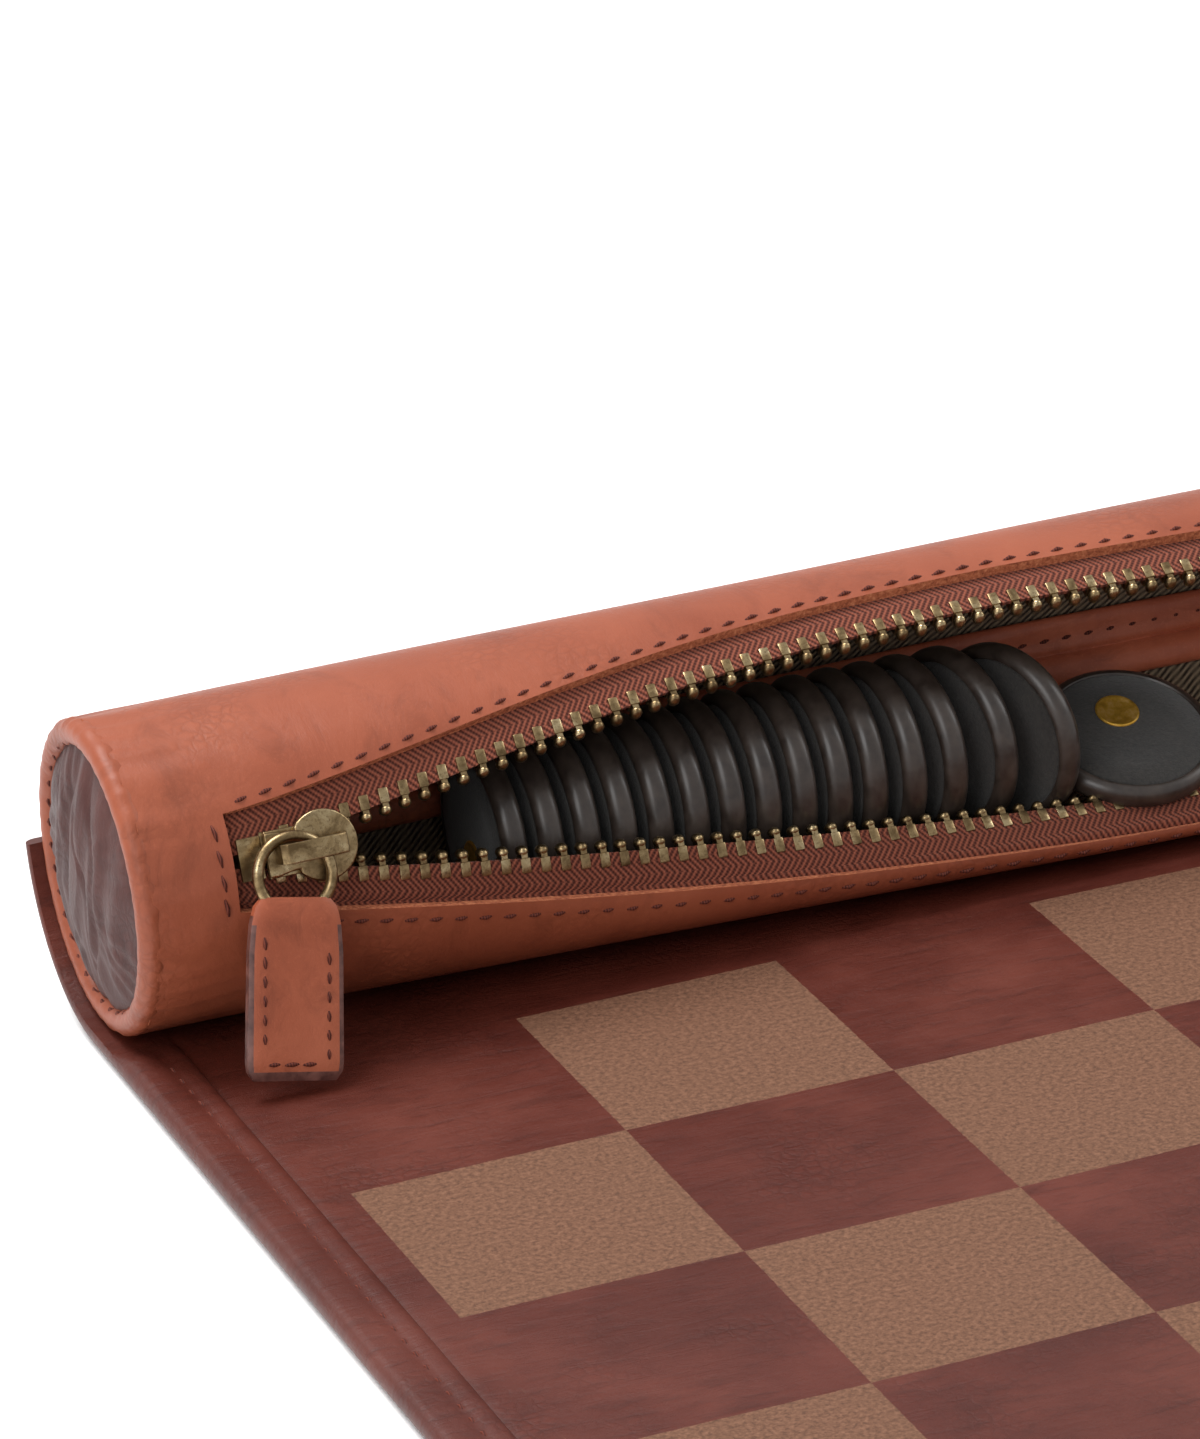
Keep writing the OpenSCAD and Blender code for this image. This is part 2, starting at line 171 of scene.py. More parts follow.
def lower_tape(e, d, s):
    """A point of the lower tape, e beyond the leather's edge, at depth d from the leather's face."""
    turn = np.radians(flop(s))
    deep = d - LEATHER_T - SKIN_GAP
    slack = np.stack(np.broadcast_arrays(
        lip_y + LEATHER_T + SKIN_GAP + e * np.sin(turn) + deep * np.cos(turn),
        mat_t + SAG_HEIGHT + e * np.cos(turn) - deep * np.sin(turn)), -1)
    return mix(round_tube(edge_low + np.degrees(e / tape_r), tube_r - d), slack, s)


def lower_angle(e, s):
    return (1 - s) * (edge_low + math.degrees(e / tape_r)) + s * flop(s)


def upper_tape(x, e, r):
    return round_tube(upper_edge(x) - np.degrees(e / tape_r), r)


# ---------- making meshes ----------
def nothing_selected():
    if bpy.context.object and bpy.context.object.mode != "OBJECT":
        bpy.ops.object.mode_set(mode="OBJECT")
    bpy.ops.object.select_all(action="DESELECT")


def named(name):
    piece = bpy.context.object
    piece.name = piece.data.name = name
    return piece


def primitive(name, add, **settings):
    """A new primitive with nothing else selected."""
    nothing_selected()
    add(**settings)
    return named(name)


def only(piece):
    nothing_selected()
    piece.select_set(True)
    bpy.context.view_layer.objects.active = piece
    return piece


def edit(piece, *steps):
    """Runs edit-mode operators on the whole piece."""
    only(piece)
    bpy.ops.object.mode_set(mode="EDIT")
    pick_all()
    for step in steps:
        step()
    bpy.ops.object.mode_set(mode="OBJECT")


def modify(piece, kind, **settings):
    only(piece)
    modifier = piece.modifiers.new(kind.title(), kind)
    for key, value in settings.items():
        setattr(modifier, key, value)
    bpy.ops.object.modifier_apply(modifier=modifier.name)


def points_of(piece):
    co = np.empty(len(piece.data.vertices) * 3)
    piece.data.vertices.foreach_get("co", co)
    return co.reshape(-1, 3)


def set_points(piece, co):
    piece.data.vertices.foreach_set("co", np.ascontiguousarray(co, float).ravel())
    piece.data.update()


def set_uv(piece, uv_of_point):
    """Gives each corner the UV of its vertex."""
    layer = piece.data.uv_layers.active or piece.data.uv_layers.new(name="UVMap")
    index = np.empty(len(piece.data.loops), np.int32)
    piece.data.loops.foreach_get("vertex_index", index)
    layer.data.foreach_set("uv", np.ascontiguousarray(uv_of_point[index], float).ravel())


def grid(name, across, along_y):
    return primitive(name, bpy.ops.mesh.primitive_grid_add, size=1, x_subdivisions=across,
                     y_subdivisions=along_y)


def grid_line(place, lines):
    """The number of the grid's line that each point of the unit grid lies on."""
    return np.rint((place + 0.5) * lines).astype(int)


def swept_sheet(name, stations, rows, outline):
    """A sheet with points at each station in x; outline(xs, k) gives row k's (y, z) at every x."""
    xs = np.asarray(stations)
    piece = grid(name, len(xs) - 1, rows - 1)
    co = points_of(piece)
    column, row = grid_line(co[:, 0], len(xs) - 1), grid_line(co[:, 1], rows - 1)
    table = np.stack([outline(xs, k) for k in range(rows)], 1)
    set_points(piece, columns([xs[column], table[column, row]]))
    length = np.zeros((len(xs), rows))
    length[:, 1:] = np.cumsum(np.linalg.norm(np.diff(table, axis=1), axis=2), 1)
    set_uv(piece, columns([xs[column], length[column, row]]))
    return piece


def pick_all():
    bpy.ops.mesh.select_all(action="SELECT")


def turn_out():
    bpy.ops.mesh.normals_make_consistent(inside=False)


def weld(reach=0.005 * MM):
    bpy.ops.mesh.remove_doubles(threshold=reach)


def close(piece):
    """Merges doubled points, fills the open ends and turns every face outwards."""
    edit(piece, weld, lambda: bpy.ops.mesh.select_all(action="DESELECT"),
         bpy.ops.mesh.select_non_manifold, bpy.ops.mesh.edge_face_add, pick_all, turn_out)


def smooth(piece, angle=40):
    only(piece)
    bpy.ops.object.shade_smooth_by_angle(angle=math.radians(angle))


def joined(name, pieces):
    nothing_selected()
    for piece in pieces:
        piece.select_set(True)
    bpy.context.view_layer.objects.active = pieces[0]
    if len(pieces) > 1:
        bpy.ops.object.join()
    return named(name)


def copies(name, model, places):
    """One piece with a copy of the model's mesh at each place."""
    every = []
    for place in places:
        copy = bpy.data.objects.new(name, model.data.copy())
        bpy.context.scene.collection.objects.link(copy)
        copy.data.transform(place)
        every.append(copy)
    return joined(name, every)


def lathe(name, profile, steps, reach=0.005 * MM):
    """A closed piece spun round Z from a profile of (x, z) points."""
    piece = primitive(name, bpy.ops.mesh.primitive_circle_add, vertices=3, radius=1)
    mesh = bmesh.new()
    points = [mesh.verts.new((x, 0, z)) for x, z in profile]
    for a, b in zip(points, points[1:]):
        mesh.edges.new((a, b))
    mesh.to_mesh(piece.data)
    mesh.free()
    edit(piece, lambda: bpy.ops.mesh.spin(steps=steps, angle=2 * math.pi, center=(0, 0, 0), axis=(0, 0, 1)),
         pick_all, lambda: weld(reach), turn_out)
    return piece


def discard(*pieces):
    for piece in pieces:
        bpy.data.objects.remove(piece)


def dress(piece, slot, *materials):
    if materials:
        piece.data.materials.clear()
    for material in materials:
        piece.data.materials.append(material)
    return piece


def put(piece, body, *nodes):
    """Lets a finished piece move with its body, in place of the nodes that it stands for."""
    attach(piece, body)
    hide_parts(*nodes)


def recoat(material, *nodes):
    """Gives frame pieces whose shape is right their real finish."""
    for node in nodes:
        coats = frame["nodes"][node].data.materials
        coats.clear()
        coats.append(material)


def rotation(degrees, axis):
    return Matrix.Rotation(math.radians(degrees), 4, axis)


LAID = (0, math.pi / 2, 0)   # turns a piece's own Z into X
UP = (0, 0, 1)


def polar(r, degrees):
    return r * math.cos(math.radians(degrees)), r * math.sin(math.radians(degrees))


def along_tangent(x, place, angle):
    """Moves a small model to (x, place): its Y runs up the tube's wall there and its Z points outwards."""
    return Matrix.Translation((x, *place)) @ rotation(90 - angle, "X")


# ---------- node recipes ----------
UV, OBJECT = 2, 3   # outputs of the coordinates node


class Recipe:
    """A node material with one Principled shader."""

    def __init__(self, name, **shader):
        self.material = bpy.data.materials.new(name)
        self.material.use_nodes = True
        self.tree = self.material.node_tree
        self.shader = self.tree.nodes["Principled BSDF"]
        for key, value in shader.items():
            self.shader.inputs[key.replace("_", " ")].default_value = value

    def add(self, kind, out=0, **inputs):
        node = self.tree.nodes.new("ShaderNode" + kind)
        for key, value in inputs.items():
            if hasattr(node, key) and not key[0].isupper():
                setattr(node, key, value)
                continue
            slot = node.inputs[int(key[1:])] if key[0] == "I" and key[1:].isdigit() else node.inputs[key]
            if isinstance(value, bpy.types.NodeSocket):
                self.tree.links.new(value, slot)
            else:
                slot.default_value = value
        return node.outputs[out]

    def math(self, operation, a, b=0.0):
        return self.add("Math", operation=operation, I0=a, I1=b)

    def times(self, a, b):
        return self.math("MULTIPLY", a, b)

    def plus(self, a, b):
        return self.math("ADD", a, b)

    def minus(self, a, b):
        return self.math("SUBTRACT", a, b)

    def place(self, scale=(1, 1, 1), uv=False):
        """The piece's own coordinates, or its UV map, stretched."""
        return self.add("Mapping", Vector=self.add("TexCoord", out=UV if uv else OBJECT), Scale=scale)

    def noise(self, where, scale, detail=4.0, rough=0.55, warp=0.0):
        return self.add("TexNoise", Vector=where, Scale=scale, Detail=detail, Roughness=rough,
                        Distortion=warp)

    def ramp(self, value, *stops):
        out = self.add("ValToRGB", Fac=value)
        elements = out.node.color_ramp.elements
        while len(elements) < len(stops):
            elements.new(0.5)
        for element, (at, colour) in zip(elements, stops):
            element.position = at
            element.color = (*colour, 1)
        return out

    def span(self, value, low, high, to_low=0.0, to_high=1.0):
        return self.add("MapRange", I0=value, I1=low, I2=high, I3=to_low, I4=to_high)

    def blend(self, amount, a, b):
        """Colour a turning into colour b as the amount goes from 0 to 1."""
        node = self.tree.nodes.new("ShaderNodeMix")
        node.data_type = "RGBA"
        for slot, value in ((0, amount), (6, a), (7, b)):
            if isinstance(value, bpy.types.NodeSocket):
                self.tree.links.new(value, node.inputs[slot])
            elif slot:
                node.inputs[slot].default_value = (*value, 1)
            else:
                node.inputs[slot].default_value = value
        return node.outputs[2]

    def parted(self, where):
        """The first two of three coordinates."""
        return self.add("SeparateXYZ", Vector=where).node.outputs[:2]

    def feeding(self, socket):
        return self.shader.inputs[socket].links[0].from_socket

    def colour(self, socket):
        self.tree.links.new(socket, self.shader.inputs["Base Color"])

    def roughness(self, socket):
        self.tree.links.new(socket, self.shader.inputs["Roughness"])

    def bump(self, *layers):
        """Each layer is (height, strength, distance); a negative strength presses inwards."""
        normal = None
        for height, strength, distance in layers:
            under = {} if normal is None else {"Normal": normal}
            normal = self.add("Bump", Height=height, Strength=abs(strength), Distance=distance,
                              invert=strength < 0, **under)
        self.tree.links.new(normal, self.shader.inputs["Normal"])
        return self.material


def leather(name, deep, middle, light, gloss=0.42, crease=(1, 1, 1), crease_size=110, depth=0.25,
            uv=False, printed=None):
    """Waxed leather: faintly cloudy colour, stretched creases and a net of small cracks, both darkened with
    painted shade, fine pores.
    """
    r = Recipe(name, Coat_Weight=0.04, Coat_Roughness=0.4, Specular_IOR_Level=0.3)
    flat = r.place(uv=uv)
    cloud = r.noise(flat, 34, 6, 0.62)
    folds = r.noise(r.place(crease, uv=uv), crease_size, 9, 0.68, 0.5)
    bent = r.add("VectorMath", operation="ADD", I0=flat, I1=r.add(
        "VectorMath", operation="SCALE", I0=r.noise(flat, 260, 3, 0.6).node.outputs[1], Scale=2.2 * MM))
    net = r.add("TexVoronoi", feature="DISTANCE_TO_EDGE", Vector=bent, Scale=640.0)
    crack = r.span(net, 0.0, 0.25, 1, 0)
    where = r.span(r.noise(flat, 48, 3, 0.5), 0.48, 0.66)
    crack = r.times(crack, where)
    fine = r.noise(flat, 2400, 4, 0.7)
    colour = r.ramp(cloud, (0.3, deep), (0.5, middle), (0.7, light))
    # painted shade: the creases' valleys are darkened towards the deep colour
    colour = r.blend(r.span(folds, 0.34, 0.48, 0.4, 0), colour, tuple(c * 0.6 for c in deep))
    # painted shade: the pressed-in cracks are darkened towards the deep colour
    colour = r.blend(r.times(crack, 0.3), colour, tuple(c * 0.5 for c in deep))
    colour = r.blend(r.span(fine, 0.55, 0.8, 0, 0.25), colour, tuple(min(1, c * 1.5) for c in light))
    r.colour(colour)
    r.roughness(r.span(r.plus(r.times(cloud, 0.6), r.times(fine, 0.4)),
                       0.3, 0.7, gloss - 0.07, gloss + 0.12))
    layers = [(folds, 0.55, depth * MM), (crack, -0.35, 0.12 * MM), (fine, 0.25, 0.06 * MM)]
    if printed:
        layers.append(printed(r))
    return r.bump(*layers)


def printed_board(r):
    """The board's light squares on the mat's leather."""
    flat = r.place(uv=True)
    x, y = r.parted(flat)
    worn = r.noise(flat, 700, 3, 0.6)
    shift = r.times(r.minus(worn, 0.5), 0.35 * MM)

    def cell(value, start):
        steps = r.plus(r.math("DIVIDE", r.minus(value, start), square), 100.0)
        return r.math("FLOOR", r.plus(steps, r.math("DIVIDE", shift, square)))

    odd = r.math("MODULO", r.plus(cell(x, -board_half), cell(y, board_back)), 2.0)
    if SQUARES % 2 == 0:
        odd = r.minus(1.0, odd)
    on_board = r.math("LESS_THAN", r.math("ABSOLUTE", x), board_half)
    for test, limit in (("LESS_THAN", board_back), ("GREATER_THAN", board_back - 2 * board_half)):
        on_board = r.times(on_board, r.math(test, y, limit))
    light = r.times(odd, on_board)
    grain = r.noise(flat, 1500, 4, 0.75)
    patchy = r.noise(flat, 60, 4, 0.6)
    tan = r.ramp(grain, (0.36, (0.085, 0.036, 0.02)), (0.5, (0.155, 0.069, 0.038)),
                 (0.66, (0.235, 0.112, 0.066)))
    tan = r.blend(r.times(patchy, 0.35), tan, (0.125, 0.058, 0.03))
    r.colour(r.blend(light, r.feeding("Base Color"), tan))
    r.roughness(r.plus(r.feeding("Roughness"), r.times(light, 0.3)))
    return r.times(light, grain), 0.3, 0.12 * MM


def grained(name, grain, stops, bump, gloss=None, **shader):
    """A finish with one grain: its noise, its colours and how deep it is cut."""
    r = Recipe(name, **shader)
    height = r.noise(r.place(), *grain)
    r.colour(r.ramp(height, *stops))
    if gloss:
        r.roughness(r.span(height, 0.3, 0.7, *gloss))
    return r.bump((height, *bump))


def thread():
    """Waxed thread, twisted, with painted shade darkening the grooves of its twist."""
    r = Recipe("waxed_thread", Roughness=0.7, Specular_IOR_Level=0.2)
    twist = r.add("TexWave", Vector=r.place(), Scale=900.0, Distortion=2.0, Detail=2.0)
    # painted shade: the twist's grooves take the dark colour and its ridges the light one
    r.colour(r.ramp(twist, (0.2, (0.06, 0.013, 0.009)), (0.8, (0.15, 0.036, 0.022))))
    return r.bump((twist, 0.4, 0.1 * MM))


def woven(name, dark, light, pitch, slant, herringbone=0.0):
    """Cloth with slanted ribs, darkened between the ribs with painted shade; with a herringbone width the
    slant turns back and forth.
    """
    r = Recipe(name, Roughness=0.9, Sheen_Weight=0.05, Specular_IOR_Level=0.2)
    flat = r.place(uv=True)
    u, v = r.parted(flat)
    if herringbone:
        v = r.math("PINGPONG", v, herringbone)

    def wave(phase):
        return r.times(r.plus(r.math("SINE", phase), 1.0), 0.5)

    rib = wave(r.plus(r.times(u, 2 * math.pi / pitch), r.times(v, slant / pitch)))
    cross = wave(r.times(r.minus(u, v), 2 * math.pi / (pitch * 0.7)))
    fluff = r.noise(flat, 3000, 3, 0.7)
    height = r.plus(r.times(rib, 0.75), r.times(cross, 0.25))
    # painted shade between the ribs, mixed with the fluff's own tone, sets the cloth's colour
    painted_shade_and_fluff = r.plus(r.times(height, 0.75), r.times(fluff, 0.3))
    r.colour(r.ramp(painted_shade_and_fluff, (0.2, dark), (0.85, light)))
    return r.bump((height, 0.9, pitch * 0.25), (fluff, 0.3, 0.06 * MM))


def antique_brass():
    """Aged brass: dark in its scratches, bright where it is rubbed."""
    r = Recipe("antique_brass", Metallic=1.0)
    tarnish = r.noise(r.place(), 260, 6, 0.65, 0.6)
    specks = r.noise(r.place(), 2400, 3, 0.7)
    bright = r.ramp(tarnish, (0.34, (0.13, 0.085, 0.04)), (0.5, (0.33, 0.235, 0.12)),
                    (0.68, (0.55, 0.44, 0.26)))
    r.colour(r.blend(r.span(specks, 0.5, 0.75), bright, (0.14, 0.09, 0.045)))
    r.roughness(r.span(tarnish, 0.3, 0.7, 0.42, 0.24))
    return r.bump((specks, 0.25, 0.04 * MM), (tarnish, 0.15, 0.1 * MM))


def suede(name, dark, light):
    """Napped face of a playing disc."""
    r = Recipe(name, Roughness=0.92, Sheen_Weight=0.3, Sheen_Roughness=0.6)
    nap = r.noise(r.place(), 1700, 5, 0.8)
    patch = r.noise(r.place(), 220, 3, 0.5)
    r.colour(r.ramp(r.plus(r.times(nap, 0.8), r.times(patch, 0.2)),
                    (0.36, dark), (0.68, light)))
    return r.bump((nap, 0.6, 0.2 * MM))


def polished_rim(name, dark, light):
    """Dyed and burnished edge of a playing disc."""
    return grained(name, (420, 5, 0.6, 0.3), ((0.32, dark), (0.7, light)), (0.25, 0.12 * MM),
                   gloss=(0.3, 0.46), Coat_Weight=0.25, Coat_Roughness=0.25)


TAN = leather("pouch_leather", (0.235, 0.055, 0.025), (0.285, 0.071, 0.033), (0.33, 0.088, 0.042),
              crease=(1.6, 0.8, 0.8), crease_size=90, depth=0.4)
TAB_LEATHER = leather("tab_leather", (0.26, 0.06, 0.028), (0.34, 0.086, 0.04), (0.42, 0.12, 0.06),
                      gloss=0.4, crease=(1, 0.7, 0.7), crease_size=220, depth=0.4)
END_LEATHER = leather("end_leather", (0.04, 0.011, 0.009), (0.07, 0.021, 0.017), (0.11, 0.037, 0.03),
                      gloss=0.5, crease=(1, 2.2, 0.4), crease_size=150, depth=0.5)
STRIP_LEATHER = leather("strip_leather", (0.36, 0.085, 0.045), (0.54, 0.14, 0.07), (0.66, 0.2, 0.11),
                        crease=(0.5, 1.4, 1.4), crease_size=200, depth=0.4)
MAT = leather("mat_leather", (0.058, 0.01, 0.006), (0.088, 0.017, 0.01), (0.125, 0.028, 0.017),
              crease=(0.4, 1.8, 1), crease_size=260, depth=0.45, uv=True, printed=printed_board)
EDGE = grained("raw_leather_edge", (1800, 5, 0.7), (
    (0.35, (0.2, 0.045, 0.018)), (0.5, (0.42, 0.115, 0.045)), (0.68, (0.62, 0.24, 0.11))),
    (0.7, 0.3 * MM), Roughness=0.85)
DARK_EDGE = grained("dyed_leather_edge", (500, 4, 0.6), (
    (0.35, (0.06, 0.02, 0.016)), (0.65, (0.17, 0.07, 0.055))),
    (0.4, 0.15 * MM), Roughness=0.4, Coat_Weight=0.1)
THREAD = thread()
# each cloth's dark colour is mostly its painted shade between the ribs
TAPE = woven("zip_tape", (0.05, 0.011, 0.007), (0.27, 0.078, 0.045), 0.85 * MM, 5.2, herringbone=1.7 * MM)
TWILL = woven("lining_twill", (0.036, 0.025, 0.016), (0.34, 0.25, 0.165), 1.3 * MM, -9.0)
BRASS = antique_brass()
GOLD = grained("gold_dot", (900, 4, 0.65), (
    (0.3, (0.55, 0.29, 0.03)), (0.5, (0.75, 0.43, 0.06)), (0.75, (0.9, 0.6, 0.2))),
    (0.1, 0.05 * MM), gloss=(0.36, 0.52), Metallic=0.8)
BLACK_SUEDE = suede("black_suede", (0.003, 0.0026, 0.0022), (0.032, 0.027, 0.022))
TAN_SUEDE = suede("tan_suede", (0.26, 0.16, 0.08), (0.52, 0.36, 0.22))
DARK_RIM = polished_rim("dark_rim", (0.022, 0.015, 0.012), (0.055, 0.04, 0.032))
TAN_RIM = polished_rim("tan_rim", (0.28, 0.16, 0.08), (0.48, 0.31, 0.17))
BOARD = grained("stiffener_board", (900, 5, 0.7), ((0.3, (0.3, 0.24, 0.16)), (0.7, (0.5, 0.42, 0.3))),
                (0.3, 0.1 * MM), Roughness=0.8)


# ---------- stitching ----------
def stitch_model(length, width):
    """One stitch: a short rounded thread that dips at both ends, lying along X."""
    piece = primitive("stitch", bpy.ops.mesh.primitive_cylinder_add, vertices=6, radius=width / 2,
                      depth=length, rotation=LAID)
    bpy.ops.object.transform_apply()
    edit(piece, bpy.ops.mesh.subdivide)
    co = points_of(piece)
    reach = np.abs(co[:, 0]) / (length / 2)
    co[:, 1:] *= (1 - 0.35 * reach ** 2)[:, None]
    co[:, 2] -= width * 0.75 * reach ** 3
    set_points(piece, co)
    smooth(piece, 80)
    return piece


STITCH = stitch_model(2.3 * MM, 0.55 * MM)


def stitched(points, normals, pitch=3.4 * MM, slant=8):
    """Stitches along a route of points, each with the way that faces out of the leather."""
    points, normals = np.asarray(points, float), np.asarray(normals, float)
    run = np.concatenate([[0], np.cumsum(np.linalg.norm(np.diff(points, axis=0), axis=1))])

    def read(table, s):
        return Vector([np.interp(s, run, table[:, i]) for i in range(3)])

    places = []
    for k in range(max(1, int(run[-1] / pitch))):
        s = (k + 0.5) * pitch
        x_axis = (read(points, s + 0.5 * MM) - read(points, s - 0.5 * MM)).normalized()
        y_axis = read(normals, s).normalized().cross(x_axis).normalized()
        turn = Matrix((x_axis, y_axis, x_axis.cross(y_axis))).transposed().to_4x4()
        places.append(Matrix.Translation(read(points, s)) @ turn @ rotation(slant, "Z"))
    return copies("run", STITCH, places)


def sewn(name, slot, *runs, body=None):
    """One piece of thread from its runs of stitches."""
    threads = dress(joined(name, runs), slot, THREAD)
    if body:
        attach(threads, body)
    return threads


# ---------- mat ----------
def mat_outline():
    """Half of the mat's cross-section, from the middle of its underside to the middle of its top."""
    round_r = (mat_t + hem_t) / 2
    edge = [polar(round_r, a - 90) for a in range(15, 181, 15)]
    turn = [(mat_half - round_r + x, round_r + z) for x, z in edge]
    inner = mat_half - HEM_W
    under = [(mat_half * k / 6, 0.0) for k in range(6)] + [(mat_half - round_r, 0.0)]
    hem_top = mat_t + hem_t
    hem = [(x + out * MM, z + rise * MM) for x, z, places in (
        (mat_half, hem_top, ((-3.4, 0), (-4.4, -0.12), (-5, -0.3), (-5.6, -0.12))),
        (inner, hem_top, ((1.2, 0), (0.4, -0.2), (0, -0.6))),
        (inner, mat_t, ((-0.1, -0.25), (-0.8, -0.05), (-1.8, 0)))) for out, rise in places]
    top = [(hem[-1][0] * (1 - k / 26), mat_t) for k in range(1, 26)]
    return under + turn + hem + top


HALF_OUTLINE = np.array(mat_outline())
OUTLINE = np.concatenate([HALF_OUTLINE, [(0, mat_t)], (HALF_OUTLINE * (-1, 1))[::-1]])[:-1]


def ripple(x, y):
    """Slow unevenness of the leather's top."""
    return 0.16 * MM * (np.sin(x * 61 + 3 * np.sin(y * 23)) * np.sin(y * 47 + 2 * np.sin(x * 19)))


def mat_panel(name, y_near, y_far, rows, bend=None):
    """A stretch of the mat between two places in y; bend moves its points off the flat."""
    n = len(OUTLINE)
    piece = grid(name, n, rows)
    co = points_of(piece)
    ring = grid_line(co[:, 0], n) % n
    y = y_near + (co[:, 1] + 0.5) * (y_far - y_near)
    x, z = OUTLINE[ring, 0], OUTLINE[ring, 1].copy()
    z = np.where((z > mat_t - 0.01 * MM) & (np.abs(x) < mat_half - HEM_W), z + ripple(x, y) - 0.1 * MM, z)
    set_points(piece, bend(x, y, z) if bend else columns([x, y, z]))
    set_uv(piece, columns([x, y]))
    close(piece)
    smooth(piece, 50)
    return dress(piece, "mat_leather", MAT)


def hem_run(*ends):
    """Stitches along the top of the hem between two places in (x, y)."""
    return stitched([(x, y, mat_t + hem_t - SEAM_SINK) for x, y in ends], [UP, UP])


def side_runs(y_near, y_far):
    edges = (HEM_SEAM - mat_half, mat_half - HEM_SEAM)
    return [hem_run((x, y_near), (x, y_far)) for x in edges]


def rolling_mat():
    """The mat in flat stretches that each lie across one hinge line, from the middle of a strip to the
    next.
    """
    for k in range(1, 9):
        y = hinge_y[k]
        near = y + (WRAP_START if k == 1 else strip_l / 2)
        far = y - strip_l / 2
        panel = mat_panel(f"mat_bend_{k}", near, far, 30)
        threads = sewn(f"hem_stitches_{k}", "mat_leather", *side_runs(near, far))
        for piece in (panel, threads):
            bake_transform(piece)
        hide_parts(f"mat_strip_{k}", f"strip_squares_{k}")


def front_of_mat():
    """The last half strip with the hem across its front."""
    back = hinge_y[8] - strip_l / 2
    panel = mat_panel("mat_front", back, front_y + HEM_W - 0.2 * MM, 6)
    round_r = (mat_t + hem_t) / 2
    hem_end = mat_half - HEM_W - 0.05 * MM
    depth = np.array([(-HEM_W, 0.0)] + [(x - mat_half, z) for x, z in HALF_OUTLINE if x > hem_end]
                     + [(-HEM_W, mat_t - 0.3 * MM)])
    n = len(depth)
    hem = grid("mat_front_hem", 60, n)
    co = points_of(hem)
    share = co[:, 0] + 0.5
    ring = grid_line(co[:, 1], n) % n
    reach = mat_half - round_r * 0.35
    x = np.clip((share - 0.5) * 2 * mat_half, -reach, reach)
    y = front_y - depth[ring, 0]
    z = depth[ring, 1] + np.where(np.abs(share - 0.5) > 0.499, 0, 0.05 * MM * np.sin(share * 90))
    z = np.maximum(z, 0)
    set_points(hem, columns([x, y, z]))
    set_uv(hem, columns([x, y]))
    close(hem)
    smooth(hem, 50)
    dress(hem, "mat_leather", MAT)
    seam_x, seam_y = mat_half - HEM_SEAM, front_y + HEM_SEAM
    threads = sewn("front_stitches", "mat_leather", hem_run((-seam_x, seam_y), (seam_x, seam_y)),
                   *side_runs(back, front_y + 6 * MM))
    for piece in (panel, hem, threads):
        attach(piece, "mat_8")
    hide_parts("mat_strip_8")


def wrapped_end():
    """The mat's far end: flat under the tube, then up round its back."""
    start = hinge_y[1] + WRAP_START
    arc = (tube_r + mat_t) * math.radians(WRAP_ANGLE)
    far = tube_y + arc

    def bend(x, y, z):
        under_tube = np.clip((y - (tube_y - 13 * MM)) / (5 * MM), 0, 1)
        limit = mat_t - 0.05 * MM
        z = np.where(z > limit, z * (1 - under_tube) + np.minimum(z, limit) * under_tube, z)
        turn = np.maximum(y - tube_y, 0) / (tube_r + mat_t)
        radius = tube_r + mat_t - z
        yy = np.where(y > tube_y, tube_y + radius * np.sin(turn), y)
        zz = np.where(y > tube_y, tube_z - radius * np.cos(turn), z)
        wave = np.clip((turn - 0.6) / 0.8, 0, 1) * 0.25 * MM * np.sin(x * 45)
        return columns([x, yy + wave * 0.6, zz + wave])

    panel = mat_panel("mat_wrap", start, far, 60, bend)
    threads = sewn("wrap_stitches", "mat_leather", *side_runs(start, tube_y - 14 * MM))
    for piece in (panel, threads):
        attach(piece, "pouch")
    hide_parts("mat_base", "base_squares")


# ---------- pouch ----------
def declare_sheet(piece):
    """Reads the UV map of a stretched cloth's single layer into an array that is then left unused."""
    uv = np.empty(len(piece.data.loops) * 2)
    piece.data.uv_layers.active.data.foreach_get("uv", uv)


LOW_N, BACK_N, GAP_N = 40, 110, 10


def wall_rows(xs, d, over=0.0, reach=None, creases=0.0):
    """Rows of (y, z) at every x: lower lip, bottom, back, top and upper lip, then across the slot."""
    s = sag(xs)
    reach = np.ones_like(xs) if reach is None else reach
    top = upper_edge(xs) + over
    rows = [lower_lip(reach * (1 - j / LOW_N), d, s) for j in range(LOW_N + 1)]
    rows += [round_tube(-90 - (270 - top) * j / BACK_N, tube_r - d) for j in range(1, BACK_N + 1)]
    rows += [round_tube(top - (top - edge_low) * j / (GAP_N + 1), tube_r - d) for j in range(1, GAP_N + 1)]
    rows.append(rows[0])
    rows = np.array(rows)
    if creases:
        ray = rows - (tube_y, tube_z)
        angle = np.arctan2(ray[..., 1], ray[..., 0])
        near_end = np.exp(-(tube_half - np.abs(xs)) / (9 * MM))
        folds = 0.5 + 0.5 * np.sin(angle * 31 + 2.4 * np.sin(angle * 7) + 0.7 * np.sin(xs * 400))
        slow = 0.5 + 0.5 * np.sin(xs * 70 + 2 * np.sin(angle * 3))
        rows = rows - ray / tube_r * (creases * (near_end * folds * 0.8 + slow * 0.22))[..., None]
    return rows


